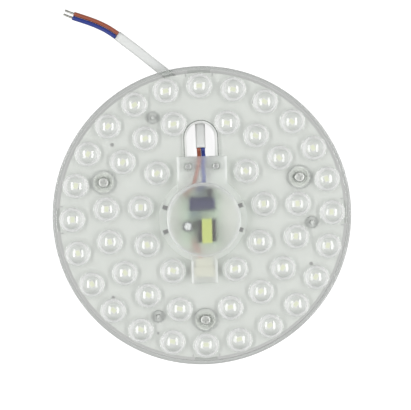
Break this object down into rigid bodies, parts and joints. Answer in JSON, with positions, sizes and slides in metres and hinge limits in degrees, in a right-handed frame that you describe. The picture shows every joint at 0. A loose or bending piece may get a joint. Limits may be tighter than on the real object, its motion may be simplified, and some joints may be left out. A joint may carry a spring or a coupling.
{
  "type": "led module",
  "caption": "Round LED module for a ceiling light: clear cover with rings of dome lenses over a white board, a frosted driver cover, magnet feet behind and a flat mains lead with bare ends.",
  "frame": {"origin": "centre of the plane of the magnet faces, on the lens cover's axis", "axes": "+Z towards the light side, +Y from the axis towards the cable slot"},
  "size_m": [0.185, 0.2223, 0.0257],
  "materials": {
    "clear_cover": "clear moulded polycarbonate",
    "white_board": "white solder mask on an aluminium core",
    "led_body": "white reflector resin",
    "led_phosphor": "phosphor-filled silicone",
    "frosted_cover": "frosted polycarbonate",
    "dark_screw": "blackened steel",
    "plated_steel": "zinc or nickel plated",
    "magnet": "sintered ferrite magnet",
    "white_plastic": "moulded nylon",
    "driver_green": "glass-fibre board with solder mask",
    "can_aluminium": "drawn can",
    "sleeve_violet": "shrunk sleeve",
    "sleeve_dark": "shrunk sleeve",
    "ferrite": "sintered ferrite",
    "copper_coil": "enamelled copper winding",
    "yellow_band": "polyester tape",
    "black_resin": "moulded epoxy",
    "resistor_body": "lacquered ceramic",
    "cream_plastic": "moulded nylon",
    "lead_red": "soft PVC",
    "lead_white": "soft PVC",
    "core_brown": "soft PVC",
    "core_blue": "soft PVC",
    "sheath_white": "soft PVC",
    "tinned_copper": "tinned strands"
  },
  "bodies": {
    "root": {"lens_cover": "clear_cover", "led_board": "white_board", "led_packages_outer": "led_body", "led_packages_middle": "led_body", "led_packages_inner": "led_body", "led_phosphors_outer": "led_phosphor", "led_phosphors_middle": "led_phosphor", "led_phosphors_inner": "led_phosphor", "driver_cover": "frosted_cover", "cover_screws": "dark_screw", "magnet_cup_right": "plated_steel", "magnet_cup_lower": "plated_steel", "magnet_cup_left": "plated_steel", "magnet_ring_right": "magnet", "magnet_ring_lower": "magnet", "magnet_ring_left": "magnet", "magnet_spacer_right": "white_plastic", "magnet_spacer_lower": "white_plastic", "magnet_spacer_left": "white_plastic", "magnet_screws": "plated_steel", "board_screws": "plated_steel", "driver_tray": "white_plastic", "driver_board": "driver_green", "bulk_capacitor_can": "can_aluminium", "bulk_capacitor_sleeve": "sleeve_violet", "output_capacitor_can": "can_aluminium", "output_capacitor_sleeve": "sleeve_dark", "transformer_base": "black_resin", "transformer_core": "ferrite", "transformer_coil": "copper_coil", "transformer_band": "yellow_band", "filter_choke": "ferrite", "fusible_resistor": "resistor_body", "bridge_rectifier": "black_resin", "controller_chip": "black_resin", "output_header": "cream_plastic", "output_plug": "cream_plastic", "output_lead_red": "lead_red", "output_lead_white": "lead_white", "brown_lead": "core_brown", "blue_lead": "core_blue", "cable_sheath": "sheath_white", "brown_core": "core_brown", "blue_core": "core_blue", "brown_tip": "tinned_copper", "blue_tip": "tinned_copper"}
  },
  "joints": []
}
